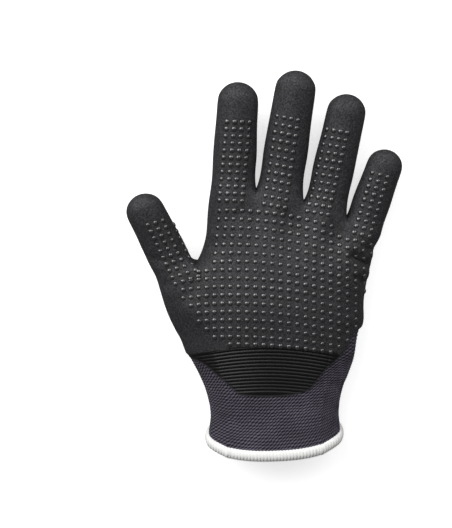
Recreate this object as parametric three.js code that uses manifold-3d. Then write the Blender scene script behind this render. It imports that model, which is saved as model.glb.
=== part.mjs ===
// Knitted work glove for the left hand, lying on its back with the palm up.
// X runs across the palm to the little finger, Y from the hem to the fingertips, Z up out of the palm.
// The glove is worked out from the hand form inside it: layer by layer, the knit, the coating and the
// ribbed wrist panel are each a fixed distance out from that form. All lengths are in millimetres.
import * as THREE from 'three';
import { mergeVertices } from 'three/addons/utils/BufferGeometryUtils.js';
import Module from 'manifold-3d';

const wasm = await Module();
wasm.setup();

// Layers, from the hand outwards
const linerWall = 1.0;
const coatingWall = 1.0;
const layerGap = 0.3;

// Cuff, heel of the hand and palm, as the hand form inside the glove
const cuffWidth = 78;
const cuffDepth = 33;
const cuffLength = 30;
const heelLength = 82;
const palmLength = 48;
const handWidth = 105;
const handDepth = 37;

// Hem roll sewn over the knit's edge
const hemThickness = 5;
const hemHeight = 7;

// Ribbed panel under the palm, and the coating's edge round the back of the hand
const ribPitch = 2.12;
const ribCount = 16;
const ribHeight = 0.5;
const windowHeight = 14;
const windowMargin = 0.6;
const windowReach = 0.46;

// Each digit has its own size; across, along and rise place its root on the palm.
const digits = {
  thumb: { length: 57, width: 19.5, depth: 20, fan: -25, lift: 11, across: -0.595, along: -0.1, rise: 0.56 },
  index: { length: 69, width: 21, depth: 20, fan: 3, lift: 6, across: -0.263, along: 0.99, rise: 0.42 },
  middle: { length: 80.5, width: 21.2, depth: 20.5, fan: 8, lift: 7, across: 0.015, along: 0.92, rise: 0.43 },
  ring: { length: 75.3, width: 19.8, depth: 19.5, fan: 11.3, lift: 6, across: 0.291, along: 0.73, rise: 0.42 },
  little: { length: 52.6, width: 17.8, depth: 17, fan: 18, lift: 5, across: 0.519, along: 0.49, rise: 0.4 },
};

// Sections of a digit from its root, as shares of its length, width, depth and lift
const digitSections = [
  { at: 0.0, width: 1.12, depth: 1.2, lift: 0.0 },
  { at: 0.15, width: 1.06, depth: 1.05, lift: 0.03 },
  { at: 0.34, width: 1.06, depth: 1.0, lift: 0.14 },
  { at: 0.54, width: 1.02, depth: 1.0, lift: 0.36 },
  { at: 0.72, width: 0.98, depth: 0.94, lift: 0.62 },
];
const tipRound = [0, 28, 52, 73];
const tipWidth = 0.96;
const tipDepth = 0.88;

// Sections of the cuff from the hem edge: left and right are shares of cuffWidth, along, lead and bow
// of cuffLength, over of cuffDepth, and lift is how much of the hem roll holds the section off the ground.
const cuffSections = [
  { along: 0.0, left: -0.53, right: 0.52, lead: 0.1, bow: -0.31, over: 1.0, lift: 1.0 },
  { along: 0.52, left: -0.51, right: 0.505, lead: 0.1, bow: -0.19, over: 0.98, lift: 0.45 },
  { along: 0.98, left: -0.544, right: 0.532, lead: 0.08, bow: 0.03, over: 1.0, lift: 0.1 },
];

// Sections of the heel of the hand: left and right are shares of handWidth, along, lead and bow of
// heelLength, over of handDepth, and thumb is how far the thumb's root already stands out.
const heelSections = [
  { along: 0.128, left: -0.446, right: 0.43, lead: 0.01, bow: 0.07, over: 0.95, thumb: 0.0 },
  { along: 0.274, left: -0.503, right: 0.461, lead: -0.01, bow: 0.125, over: 1.0, thumb: 0.02 },
  { along: 0.409, left: -0.54, right: 0.478, lead: 0.02, bow: 0.12, over: 1.04, thumb: 0.08 },
  { along: 0.543, left: -0.594, right: 0.501, lead: 0.05, bow: 0.09, over: 1.06, thumb: 0.25 },
  { along: 0.677, left: -0.64, right: 0.502, lead: 0.08, bow: 0.045, over: 1.05, thumb: 0.55 },
];
const seamSection = 5.5;

// Sections of the palm above the thumb: left and right are shares of handWidth, leftAlong and
// rightAlong of palmLength, over of handDepth, and fingers is how far the finger roots stand out.
const palmSections = [
  { left: -0.45, right: 0.536, leftAlong: 0.02, rightAlong: -0.02, over: 0.99, fingers: 0.0 },
  { left: -0.405, right: 0.549, leftAlong: 0.28, rightAlong: 0.09, over: 0.93, fingers: 0.1 },
  { left: -0.386, right: 0.561, leftAlong: 0.53, rightAlong: 0.19, over: 0.86, fingers: 0.35 },
  { left: -0.384, right: 0.577, leftAlong: 0.76, rightAlong: 0.29, over: 0.79, fingers: 0.7 },
];

// Edge of the coating across the wrist, from the little finger's side to the thumb's: across is a share
// of handWidth, and along a share of heelLength from the end of the cuff.
const dipEdge = [
  { across: 0.8, along: 0.56 },
  { across: 0.5, along: 0.524 },
  { across: 0.419, along: 0.372 },
  { across: 0.298, along: 0.226 },
  { across: 0.207, along: 0.078 },
  { across: 0.146, along: 0.044 },
  { across: 0.024, along: 0.02 },
  { across: -0.11, along: 0.018 },
  { across: -0.212, along: 0.026 },
  { across: -0.25, along: 0.06 },
  { across: -0.371, along: 0.2 },
  { across: -0.492, along: 0.287 },
  { across: -0.8, along: 0.32 },
];

// Edge of the coating over the thumb's root on the back: across is a share of handWidth, and along a
// share of palmLength from the thumb's fork.
const thumbEdge = [
  { across: -0.95, along: -0.3 },
  { across: -0.79, along: 0.06 },
  { across: -0.74, along: 0.08 },
  { across: -0.66, along: -0.06 },
  { across: -0.58, along: -0.18 },
  { across: -0.5, along: -0.1 },
  { across: -0.44, along: 0.03 },
];

const degrees = Math.PI / 180;
const cornerAngle = 45 * degrees;
const sidePoints = 2;
const digitColumns = 3;
const fingerNames = ['index', 'middle', 'ring', 'little'];
const palmRound = 2.3;
const backFlat = 3.2;
const sideLevel = 0.42;
const restSink = 1.2;
const sideReach = Math.cos(cornerAngle / (sidePoints + 1));
const forkLevel = cuffLength + heelLength;

// A ring is the loop of one section: top and bottom run left to right, right runs down and left up.
function makeRing(columns, pointAt) {
  const span = Math.PI - 2 * cornerAngle;
  const sideStep = (2 * cornerAngle) / (sidePoints + 1);
  const steps = [...Array(columns + 1).keys()];
  const sides = [...Array(sidePoints).keys()];
  return {
    top: steps.map((i) => pointAt(Math.PI - cornerAngle - (span * i) / columns)),
    right: sides.map((i) => pointAt(cornerAngle - sideStep * (i + 1))),
    bottom: steps.map((i) => pointAt(Math.PI + cornerAngle + (span * i) / columns)),
    left: sides.map((i) => pointAt(Math.PI + cornerAngle - sideStep * (i + 1))),
  };
}

function loopOf(ring) {
  return [...ring.top, ...ring.right, ...[...ring.bottom].reverse(), ...ring.left];
}

function ringFrom(loop, columns) {
  const top = loop.slice(0, columns + 1);
  const right = loop.slice(columns + 1, columns + 1 + sidePoints);
  const bottom = loop.slice(columns + 1 + sidePoints, 2 * columns + 2 + sidePoints).reverse();
  return { top, right, bottom, left: loop.slice(2 * columns + 2 + sidePoints) };
}

const power = (value, exponent) => Math.sign(value) * Math.abs(value) ** (2 / exponent);

// A wide flat section of the hand between a left and a right point, bowed towards the fingers.
function handRing(columns, left, right, under, over, bow) {
  const middle = left.clone().add(right).multiplyScalar(0.5);
  const half = right.clone().sub(left).multiplyScalar(0.5);
  const level = under + sideLevel * (over - under);
  return makeRing(columns, (angle) => {
    const up = Math.sin(angle) >= 0;
    const round = up ? palmRound : backFlat;
    const across = power(Math.cos(angle) / sideReach, round);
    const height = power(Math.sin(angle), round);
    const y = middle.y + half.y * across + bow * (up ? height : -0.35 * Math.abs(height));
    const z = level + height * (up ? over - level : level - under);
    return new THREE.Vector3(middle.x + half.x * across, y, z);
  });
}

// One digit: its rings from root to tip, its pole, and the middle line that its cutters follow.
function digitRings(digit) {
  const fan = digit.fan * degrees;
  const forward = new THREE.Vector3(Math.sin(fan), Math.cos(fan), 0);
  const side = new THREE.Vector3(Math.cos(fan), -Math.sin(fan), 0);
  const root = new THREE.Vector3(
    digit.across * handWidth,
    forkLevel + digit.along * palmLength,
    linerWall + digit.rise * handDepth,
  );
  const centre = (at, lift) =>
    root.clone().addScaledVector(forward, at * digit.length).add(new THREE.Vector3(0, 0, lift * digit.lift));
  const ringAt = (middle, width, depth) =>
    makeRing(digitColumns, (angle) =>
      middle
        .clone()
        .addScaledVector(side, (Math.cos(angle) * width) / 2 / sideReach)
        .add(new THREE.Vector3(0, 0, (Math.sin(angle) * depth) / 2)),
    );
  const body = digitSections.map((s) =>
    ringAt(centre(s.at, s.lift), s.width * digit.width, s.depth * digit.depth),
  );
  const tipReach = (tipWidth * digit.width) / 2 / digit.length;
  const liftAt = (at) => {
    const last = digitSections[digitSections.length - 1];
    return last.lift + ((at - last.at) / (1 - last.at)) * (1 - last.lift);
  };
  const cap = tipRound.map((turn) => {
    const at = 1 - tipReach + tipReach * Math.sin(turn * degrees);
    const shrink = Math.cos(turn * degrees);
    return ringAt(centre(at, liftAt(at)), tipWidth * digit.width * shrink, tipDepth * digit.depth * shrink);
  });
  return { rings: [...body, ...cap], pole: centre(1, 1), root, forward, side };
}

const between = (a, b) => a.clone().add(b).multiplyScalar(0.5);

// Sets the neighbouring sides of a row of rings on shared points, and gives the one ring round them all.
function joinRings(rings) {
  for (let i = 0; i + 1 < rings.length; i++) {
    const a = rings[i];
    const b = rings[i + 1];
    const last = a.top.length - 1;
    a.top[last] = b.top[0] = between(a.top[last], b.top[0]);
    a.bottom[last] = b.bottom[0] = between(a.bottom[last], b.bottom[0]);
    for (let j = 0; j < sidePoints; j++) {
      const up = sidePoints - 1 - j;
      a.right[j] = b.left[up] = between(a.right[j], b.left[up]);
    }
  }
  const joined = (key) => rings.flatMap((ring, i) => (i ? ring[key].slice(1) : ring[key]));
  return { top: joined('top'), right: rings.at(-1).right, bottom: joined('bottom'), left: rings[0].left };
}

// The faces of the hand form: each is three points and the zone that it belongs to.
const faces = [];

function addStrip(lower, upper, zone) {
  const a = loopOf(lower);
  const b = loopOf(upper);
  a.forEach((point, i) => {
    const next = (i + 1) % a.length;
    faces.push({ zone, points: [point, b[next], b[i]] }, { zone, points: [point, a[next], b[next]] });
  });
}

function addDigit(digit) {
  digit.rings.slice(1).forEach((ring, i) => addStrip(digit.rings[i], ring, 'hand'));
  const last = loopOf(digit.rings.at(-1));
  last.forEach((point, i) => {
    faces.push({ zone: 'hand', points: [point, last[(i + 1) % last.length], digit.pole] });
  });
}

// How far a shaped row stands away from the plain section between its own two ends
function reliefOf(ring, columns) {
  const loop = loopOf(ring);
  const left = ring.left[0].clone().add(ring.left[1]).multiplyScalar(0.5);
  const right = ring.right[0].clone().add(ring.right[1]).multiplyScalar(0.5);
  const under = Math.min(...loop.map((p) => p.z));
  const over = Math.max(...loop.map((p) => p.z));
  const plain = loopOf(handRing(columns, left, right, under, over, 0));
  return loop.map((point, i) => point.clone().sub(plain[i]));
}

function withRelief(ring, columns, relief, share) {
  return ringFrom(
    loopOf(ring).map((point, i) => point.clone().addScaledVector(relief[i], share)),
    columns,
  );
}

// The back of the hand sinks a little under its own weight and lies flat where it meets the ground.
const backLevel = linerWall - restSink;
function rested(ring) {
  loopOf(ring).forEach((point) => point.setZ(Math.max(point.z, linerWall)));
  return ring;
}

const built = Object.fromEntries(Object.entries(digits).map(([name, digit]) => [name, digitRings(digit)]));
const knuckleRing = joinRings(fingerNames.map((name) => built[name].rings[0]));
const palmColumns = digitColumns * fingerNames.length;
const fingerRelief = reliefOf(knuckleRing, palmColumns);
const palmRings = palmSections.map((s) => {
  const left = new THREE.Vector3(s.left * handWidth, forkLevel + s.leftAlong * palmLength, 0);
  const right = new THREE.Vector3(s.right * handWidth, forkLevel + s.rightAlong * palmLength, 0);
  const plain = handRing(palmColumns, left, right, backLevel, linerWall + s.over * handDepth, 0);
  return rested(withRelief(plain, palmColumns, fingerRelief, s.fingers));
});

const forkRing = joinRings([built.thumb.rings[0], palmRings[0]]);
const trunkColumns = palmColumns + digitColumns;
const thumbRelief = reliefOf(forkRing, trunkColumns);
const hemProud = (hemThickness - linerWall) / 2 + layerGap;
const cuffRings = cuffSections.map((s) => {
  const y = s.along * cuffLength;
  const left = new THREE.Vector3(s.left * cuffWidth, y, 0);
  const right = new THREE.Vector3(s.right * cuffWidth, y + s.lead * cuffLength, 0);
  const under = linerWall + s.lift * hemProud;
  return handRing(trunkColumns, left, right, under, under + s.over * cuffDepth, s.bow * cuffLength);
});
const heelRings = heelSections.map((s) => {
  const y = cuffLength + s.along * heelLength;
  const left = new THREE.Vector3(s.left * handWidth, y, 0);
  const right = new THREE.Vector3(s.right * handWidth, y + s.lead * heelLength, 0);
  const over = linerWall + s.over * handDepth;
  const plain = handRing(trunkColumns, left, right, backLevel, over, s.bow * heelLength);
  return rested(withRelief(plain, trunkColumns, thumbRelief, s.thumb));
});
const trunkRings = [...cuffRings, ...heelRings, forkRing];

// Zones of the hand form: the cuff below the seam, the seam itself, and the hand above it
const mix = (a, b, share) => ringFrom(
  loopOf(a).map((point, i) => point.clone().lerp(loopOf(b)[i], share)),
  trunkColumns,
);
const seamBelow = trunkRings[Math.floor(seamSection)];
const seamAbove = trunkRings[Math.ceil(seamSection)];
const seamHalf = layerGap / 2 / seamBelow.left[0].distanceTo(seamAbove.left[0]);
const seamShare = seamSection % 1;
const cuffTop = mix(seamBelow, seamAbove, seamShare - seamHalf);
const handStart = mix(seamBelow, seamAbove, seamShare + seamHalf);

const cuffLoops = [...trunkRings.slice(0, Math.ceil(seamSection)), cuffTop];
cuffLoops.slice(1).forEach((ring, i) => addStrip(cuffLoops[i], ring, 'cuff'));
addStrip(cuffTop, handStart, 'seam');
const handLoops = [handStart, ...trunkRings.slice(Math.ceil(seamSection))];
handLoops.slice(1).forEach((ring, i) => addStrip(handLoops[i], ring, 'hand'));
const palmLoops = [...palmRings, knuckleRing];
palmLoops.slice(1).forEach((ring, i) => addStrip(palmLoops[i], ring, 'hand'));
Object.values(built).forEach(addDigit);

// Outward direction at each point of the hand form
const normals = new Map();
for (const { points: [a, b, c] } of faces) {
  const facing = b.clone().sub(a).cross(c.clone().sub(a));
  [a, b, c].forEach((point) => normals.set(point, (normals.get(point) ?? new THREE.Vector3()).add(facing)));
}
normals.forEach((normal) => normal.normalize());
const pushed = (point, distance) => point.clone().addScaledVector(normals.get(point), distance);

const ids = new Map();
function idOf(point) {
  if (!ids.has(point)) ids.set(point, ids.size);
  return ids.get(point);
}

// A closed wall between two distances out from a patch of faces, as a solid
function wallSolid(patch, inner, outer) {
  const triangles = [];
  const edges = new Map();
  const key = (a, b) => `${idOf(a)} ${idOf(b)}`;
  for (const [a, b, c] of patch) {
    triangles.push([pushed(a, outer), pushed(b, outer), pushed(c, outer)]);
    triangles.push([pushed(a, inner), pushed(c, inner), pushed(b, inner)]);
    [[a, b], [b, c], [c, a]].forEach(([p, q]) => edges.set(key(p, q), [p, q]));
  }
  for (const [p, q] of edges.values()) {
    if (edges.has(key(q, p))) continue;
    triangles.push([pushed(p, outer), pushed(p, inner), pushed(q, outer)]);
    triangles.push([pushed(q, outer), pushed(p, inner), pushed(q, inner)]);
  }
  return solidFrom(triangles);
}

function solidFrom(triangles) {
  const positions = triangles.flat().flatMap((point) => point.toArray());
  return solidOf(new THREE.BufferGeometry().setAttribute(
    'position',
    new THREE.Float32BufferAttribute(positions, 3),
  ));
}

function solidOf(geometry) {
  const bare = geometry.clone();
  bare.deleteAttribute('normal');
  bare.deleteAttribute('uv');
  const merged = mergeVertices(bare, 1e-4);
  return new wasm.Manifold(new wasm.Mesh({
    numProp: 3,
    vertProperties: new Float32Array(merged.attributes.position.array),
    triVerts: new Uint32Array(merged.index.array),
  }));
}

// An upright cutter with a flat outline, between two heights
function cutterFrom(outline, low, high) {
  const shape = new THREE.Shape(outline);
  const geometry = new THREE.ExtrudeGeometry(shape, { depth: high - low, bevelEnabled: false });
  return solidOf(geometry.translate(0, 0, low));
}

const facesOf = (...zones) => faces.filter((face) => zones.includes(face.zone)).map((face) => face.points);
const coatingInner = linerWall + layerGap;
const coatingOuter = coatingInner + coatingWall;
const farOut = 4 * handWidth;
const top = 4 * handDepth;

// Below the dip edge nothing is coated, on either side of the glove.
const dipPoints = dipEdge.map(({ across, along }) =>
  new THREE.Vector2(across * handWidth, cuffLength + along * heelLength));
const dipCurve = new THREE.SplineCurve(dipPoints).getPoints(48);
const dipCutter = cutterFrom(
  [...dipCurve, new THREE.Vector2(-farOut, dipCurve.at(-1).y), new THREE.Vector2(-farOut, -farOut),
    new THREE.Vector2(farOut, -farOut), new THREE.Vector2(farOut, dipCurve[0].y)],
  -top, top,
);

// The back of the hand is left bare in a window with a pointed arch up each finger.
function archOf(name) {
  const { root, forward, side } = built[name];
  const half = digits[name].width / 2 - windowMargin;
  const reach = windowReach * digits[name].length;
  return [...Array(13).keys()].map((i) => {
    const turn = Math.PI * (1 - i / 12);
    const { x, y } = root.clone()
      .addScaledVector(side, half * Math.cos(turn))
      .addScaledVector(forward, reach * Math.sin(turn));
    return new THREE.Vector2(x, y);
  });
}
const thumbCurve = new THREE.SplineCurve(
  thumbEdge.map(({ across, along }) => new THREE.Vector2(across * handWidth, forkLevel + along * palmLength)),
).getPoints(24);
const indexSide = palmSections.slice(1).map((s) =>
  new THREE.Vector2(s.left * handWidth + windowMargin, forkLevel + s.leftAlong * palmLength));
const littleSide = palmSections.map((s) =>
  new THREE.Vector2(s.right * handWidth - windowMargin, forkLevel + s.rightAlong * palmLength)).reverse();
const windowCutter = cutterFrom(
  [new THREE.Vector2(-farOut, -farOut), new THREE.Vector2(-farOut, thumbCurve[0].y), ...thumbCurve, ...indexSide,
    ...fingerNames.flatMap(archOf), ...littleSide, dipCurve[2], new THREE.Vector2(farOut, dipCurve[0].y),
    new THREE.Vector2(farOut, -farOut)],
  -top, windowHeight,
);

// Rows of the wrist ribs run across the hand form at even steps along the middle of the palm.
const stripOf = (ring) => [ring.left.at(-1), ...ring.top, ring.right[0]];
const strips = trunkRings.map(stripOf);
const middleColumn = Math.floor(strips[0].length / 2);
function rowAt(level) {
  const above = strips.findIndex((strip) => strip[middleColumn].y > level);
  const [a, b] = [strips[above - 1], strips[above]];
  const share = (level - a[middleColumn].y) / (b[middleColumn].y - a[middleColumn].y);
  return a.map((point, i) => {
    const place = point.clone().lerp(b[i], share);
    normals.set(place, normals.get(point).clone().lerp(normals.get(b[i]), share).normalize());
    return place;
  });
}
const ribTop = cuffLength + ribCount * ribPitch;
const footLine = rowAt(ribTop).map((point) => pushed(point, coatingInner));
function footCutter(drop) {
  const line = footLine.map(({ x, y }) => new THREE.Vector2(x, y - drop));
  return cutterFrom(
    [new THREE.Vector2(-farOut, -farOut), new THREE.Vector2(-farOut, line[0].y), ...line,
      new THREE.Vector2(farOut, line.at(-1).y), new THREE.Vector2(farOut, -farOut)],
    -top, top,
  );
}

function wristPanel() {
  const rows = [];
  for (let i = 0; i <= 2 * ribCount; i++) {
    const row = rowAt(ribTop - (i * ribPitch) / 2);
    rows.push({ row, height: i % 2 ? ribHeight : 0 });
  }
  const triangles = [];
  const out = ({ row, height }) => row.map((point) => pushed(point, coatingOuter - ribHeight + height));
  const inn = ({ row }) => row.map((point) => pushed(point, coatingInner));
  const strip = (a, b) => a.slice(1).forEach((_, i) => {
    triangles.push([a[i], b[i], b[i + 1]], [a[i], b[i + 1], a[i + 1]]);
  });
  const outs = rows.map(out);
  const inns = rows.map(inn);
  const ends = (grid, pick) => grid.map((row) => row.at(pick));
  rows.slice(1).forEach((_, i) => {
    strip(outs[i], outs[i + 1]);
    strip(inns[i + 1], inns[i]);
  });
  strip(inns[0], outs[0]);
  strip(outs.at(-1), inns.at(-1));
  strip(ends(outs, 0), ends(inns, 0));
  strip(ends(inns, -1), ends(outs, -1));
  return solidFrom(triangles).subtract(dipCutter).intersect(footCutter(layerGap));
}

// The hem is a thick thread roll that wraps the edge of the knit.
function hemRoll() {
  const edge = loopOf(cuffRings[0]);
  const profile = [...Array(10).keys()].map((i) => (2 * Math.PI * i) / 10);
  const sections = edge.map((point) => {
    const normal = normals.get(point);
    const centre = point.clone().addScaledVector(normal, linerWall / 2);
    return profile.map((angle) => centre
      .clone()
      .addScaledVector(normal, (Math.cos(angle) * hemThickness) / 2)
      .add(new THREE.Vector3(0, (Math.sin(angle) * hemHeight) / 2, 0)));
  });
  const triangles = [];
  sections.forEach((section, i) => {
    const next = sections[(i + 1) % sections.length];
    section.forEach((point, j) => {
      const k = (j + 1) % section.length;
      triangles.push([point, next[k], section[k]], [point, next[j], next[k]]);
    });
  });
  const slotLow = ringFrom(edge.map((point) => {
    const low = point.clone().setY(point.y - layerGap);
    normals.set(low, normals.get(point));
    return low;
  }), trunkColumns);
  const slot = [];
  const slotHigh = loopOf(cuffRings[1]);
  loopOf(slotLow).forEach((point, i, loop) => {
    const j = (i + 1) % loop.length;
    slot.push([point, slotHigh[j], slotHigh[i]], [point, loop[j], slotHigh[j]]);
  });
  return solidFrom(triangles).subtract(wallSolid(slot, -layerGap, linerWall + layerGap));
}

const group = new THREE.Group();

function addPiece(name, solid, color, roughness) {
  const { vertProperties, triVerts } = solid.getMesh();
  const geometry = new THREE.BufferGeometry();
  geometry.setAttribute('position', new THREE.BufferAttribute(vertProperties, 3));
  geometry.setIndex(new THREE.BufferAttribute(triVerts, 1));
  const mesh = new THREE.Mesh(geometry, new THREE.MeshStandardMaterial({ color, roughness, metalness: 0 }));
  mesh.name = name;
  group.add(mesh);
}

const coating = wallSolid(facesOf('cuff', 'seam', 'hand'), coatingInner, coatingOuter)
  .subtract(dipCutter)
  .subtract(windowCutter)
  .subtract(footCutter(0));

addPiece('knit_hand', wallSolid(facesOf('hand'), 0, linerWall), 0x55525b, 0.9);
addPiece('knit_cuff', wallSolid(facesOf('cuff'), 0, linerWall), 0x4b4952, 0.9);
addPiece('cuff_hem', hemRoll(), 0xf0f0ee, 0.8);
addPiece('palm_coating', coating, 0x2b2b2d, 0.7);
addPiece('wrist_ribs', wristPanel(), 0x1b1b1d, 0.6);

// The origin is the middle of the ground under the glove.
const box = new THREE.Box3().setFromObject(group);
const middle = box.getCenter(new THREE.Vector3());
group.children.forEach((mesh) => mesh.position.set(-middle.x, -middle.y, -box.min.z));

export default group;
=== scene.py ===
"""Knitted grip glove for the left hand: foam-coated palm with raised grip dots, ribbed wrist, white hem.

Every layer is worked out from one smooth hand form: the knit lies on it, and the coating, the ribs, the
dots and the hem each stand a set distance out from it. The sizes repeat those of the CAD model.
"""

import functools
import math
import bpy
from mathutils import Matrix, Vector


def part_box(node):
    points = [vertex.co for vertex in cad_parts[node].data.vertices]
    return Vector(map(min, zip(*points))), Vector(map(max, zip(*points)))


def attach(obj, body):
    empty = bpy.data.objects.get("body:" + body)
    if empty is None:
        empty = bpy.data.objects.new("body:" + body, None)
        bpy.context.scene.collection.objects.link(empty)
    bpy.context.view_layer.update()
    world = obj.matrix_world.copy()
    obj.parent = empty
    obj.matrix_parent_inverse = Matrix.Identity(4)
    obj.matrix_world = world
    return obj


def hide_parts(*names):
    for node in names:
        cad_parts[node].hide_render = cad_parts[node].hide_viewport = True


bl_info = {
    "name": "Grip Glove",
    "version": (1, 0, 0),
    "blender": (4, 5, 0),
    "location": "3D Viewport > Sidebar > Glove",
    "description": "Builds the knit, coating, grip dots, wrist ribs and hem of a work glove",
    "category": "Object",
}

import bpy
import numpy as np
from bpy.props import FloatProperty, FloatVectorProperty, IntProperty, PointerProperty
from mathutils import Matrix, Vector, noise
from mathutils.bvhtree import BVHTree

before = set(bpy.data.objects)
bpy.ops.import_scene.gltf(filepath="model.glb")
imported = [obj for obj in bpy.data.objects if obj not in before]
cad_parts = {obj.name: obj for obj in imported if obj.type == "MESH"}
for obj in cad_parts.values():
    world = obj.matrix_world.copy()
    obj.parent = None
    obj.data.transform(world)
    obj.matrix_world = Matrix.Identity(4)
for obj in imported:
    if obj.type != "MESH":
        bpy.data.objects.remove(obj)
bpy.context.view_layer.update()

MM = 0.001

# Layers, from the hand outwards (mm)
LINER_WALL = 1.0
COATING_INNER = 0.85
COATING_EDGE = 1.45
COATING_OUTER = 2.3
COATING_TAPER = 2.4

# Cuff, heel of the hand and palm, as the hand form inside the glove (mm)
CUFF_WIDTH = 78
CUFF_DEPTH = 33
CUFF_LENGTH = 30
HEEL_LENGTH = 82
PALM_LENGTH = 48
HAND_WIDTH = 105
HAND_DEPTH = 37
HEM_THICKNESS = 5
HEM_HEIGHT = 7
HEM_SLANT = 1.1
HEM_ROUND = 0.7
HEM_PROUD = (HEM_THICKNESS - LINER_WALL) / 2 + 0.3
RIB_PITCH = 2.32
RIB_COUNT = 14
RIB_ROUND = 0.8
RIB_PLAIN = 0.35
RIB_LAP = 0.4
WINDOW_HEIGHT = 14
WINDOW_MARGIN = 0.6
WINDOW_REACH = 0.46
REST_SINK = 1.2

# Arc of the top rib across the palm: its level and place in the middle, and how it sags to both sides
RIB_TOP = 66
RIB_MIDDLE = -5
RIB_SAG = 3.6e-3

# Digits: length, width, depth and lift (mm), fan (degrees), and the root's place as shares of the hand
DIGITS = {
    "thumb": dict(length=57, width=19.5, depth=20, fan=-25, lift=11, across=-0.595, along=-0.1, rise=0.56),
    "index": dict(length=69, width=21, depth=20, fan=3, lift=6, across=-0.263, along=0.99, rise=0.42),
    "middle": dict(length=80.5, width=21.2, depth=20.5, fan=8, lift=7, across=0.015, along=0.92, rise=0.43),
    "ring": dict(length=75.3, width=19.8, depth=19.5, fan=11.3, lift=6, across=0.291, along=0.73, rise=0.42),
    "little": dict(length=52.6, width=17.8, depth=17, fan=18, lift=5, across=0.519, along=0.49, rise=0.4),
}
FINGERS = ("index", "middle", "ring", "little")

# Sections of a digit: share of its length, then width, depth and lift as shares of its own
DIGIT_SECTIONS = (
    (0.0, 1.12, 1.2, 0.0),
    (0.15, 1.06, 1.05, 0.03),
    (0.34, 1.06, 1.0, 0.14),
    (0.54, 1.02, 1.0, 0.36),
    (0.72, 0.98, 0.94, 0.62),
)
TIP_ROUND = (0, 28, 52, 73)
TIP_WIDTH = 0.96
TIP_DEPTH = 0.88

# Sections of the cuff: along, left, right, lead, bow, over, lift
CUFF_SECTIONS = (
    (0.0, -0.53, 0.52, 0.1, -0.31, 1.0, 1.0),
    (0.52, -0.51, 0.505, 0.1, -0.19, 0.98, 0.45),
    (0.98, -0.544, 0.532, 0.08, 0.03, 1.0, 0.1),
)
# Sections of the heel: along, left, right, lead, bow, over, thumb
HEEL_SECTIONS = (
    (0.128, -0.446, 0.43, 0.01, 0.07, 0.95, 0.0),
    (0.274, -0.503, 0.461, -0.01, 0.125, 1.0, 0.02),
    (0.409, -0.54, 0.478, 0.02, 0.12, 1.04, 0.08),
    (0.543, -0.594, 0.501, 0.05, 0.09, 1.06, 0.25),
    (0.677, -0.64, 0.502, 0.08, 0.045, 1.05, 0.55),
)
SEAM_SECTION = 5.5
# Sections of the palm: left, right, leftAlong, rightAlong, over, fingers
PALM_SECTIONS = (
    (-0.45, 0.536, 0.02, -0.02, 0.99, 0.0),
    (-0.405, 0.549, 0.28, 0.09, 0.93, 0.1),
    (-0.386, 0.561, 0.53, 0.19, 0.86, 0.35),
    (-0.384, 0.577, 0.76, 0.29, 0.79, 0.7),
)
# Edge of the coating across the wrist: share of HAND_WIDTH, share of HEEL_LENGTH
DIP_EDGE = (
    (0.8, 0.56), (0.5, 0.524), (0.419, 0.372), (0.298, 0.226), (0.207, 0.078), (0.146, 0.044),
    (0.024, 0.02), (-0.11, 0.018), (-0.212, 0.026), (-0.25, 0.06), (-0.371, 0.2), (-0.492, 0.287),
    (-0.8, 0.32),
)
# Edge of the coating over the thumb's root on the back: share of HAND_WIDTH, share of PALM_LENGTH
THUMB_EDGE = (
    (-0.95, -0.3), (-0.79, 0.06), (-0.74, 0.08), (-0.66, -0.06), (-0.58, -0.18), (-0.5, -0.1),
    (-0.44, 0.03),
)

# Short folds and soft dents of the palm side: from x, y to x, y, half width and depth (mm)
FOLDS = (
    (48, 121.5, 60, 113, 2.6, 2.6),
    (50.5, 108.5, 56.5, 101.5, 2.0, 1.5),
    (-82, 123, -73, 120, 2.4, 0.7),
    (-76, 108, -66, 104, 3.0, 0.5),
    (-58, 96, -44, 112, 4.5, 0.7),
    (-46, 118, -40, 128, 3.2, 0.6),
    (-30, 146, -22, 150, 3.0, 0.4),
    (6, 148, 12, 140, 3.2, 0.5),
    (34, 140, 38, 132, 3.0, 0.45),
)
# A fold raises a low lip on both sides: share of its depth, place in half widths, sharpness
FOLD_LIP = (0.35, 2.1, 1.6)
# Folds fade out towards the outline, and towards the ground over this height (mm)
FOLD_FACING = 1.8
FOLD_CLEAR = 6
RIPPLE_HEIGHT = 0.3
RIPPLE_LENGTH = 24

CORNER = math.radians(45)
SIDE_POINTS = 2
DIGIT_COLUMNS = 3
PALM_COLUMNS = DIGIT_COLUMNS * len(FINGERS)
TRUNK_COLUMNS = PALM_COLUMNS + DIGIT_COLUMNS
PALM_ROUND = 2.3
BACK_FLAT = 3.2
SIDE_LEVEL = 0.42
SIDE_REACH = math.cos(CORNER / (SIDE_POINTS + 1))
FORK_LEVEL = CUFF_LENGTH + HEEL_LENGTH

# Knit of the hand: wales across one column of the palm face and of the side, and the height of a course
# (mm). Knit of the cuff: the width of a wale, the height of a course (mm), and how far its legs lean.
WALES_FACE = 4
WALES_SIDE = 5
COURSE_HEIGHT = 1.25
CUFF_WALE = 2.25
CUFF_COURSE = 2.1
CUFF_LEAN = 0.86
CUFF_ZONE, HAND_ZONE = 0, 1
LEVELS = 3

# Camera: the view that the photo has, from above the palm (mm, degrees)
VIEW_TARGET = (-24.27, 1.32, 20)
VIEW_DISTANCE = 1100
VIEW_TILT = 11
VIEW_LENS = 137.2

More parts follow.
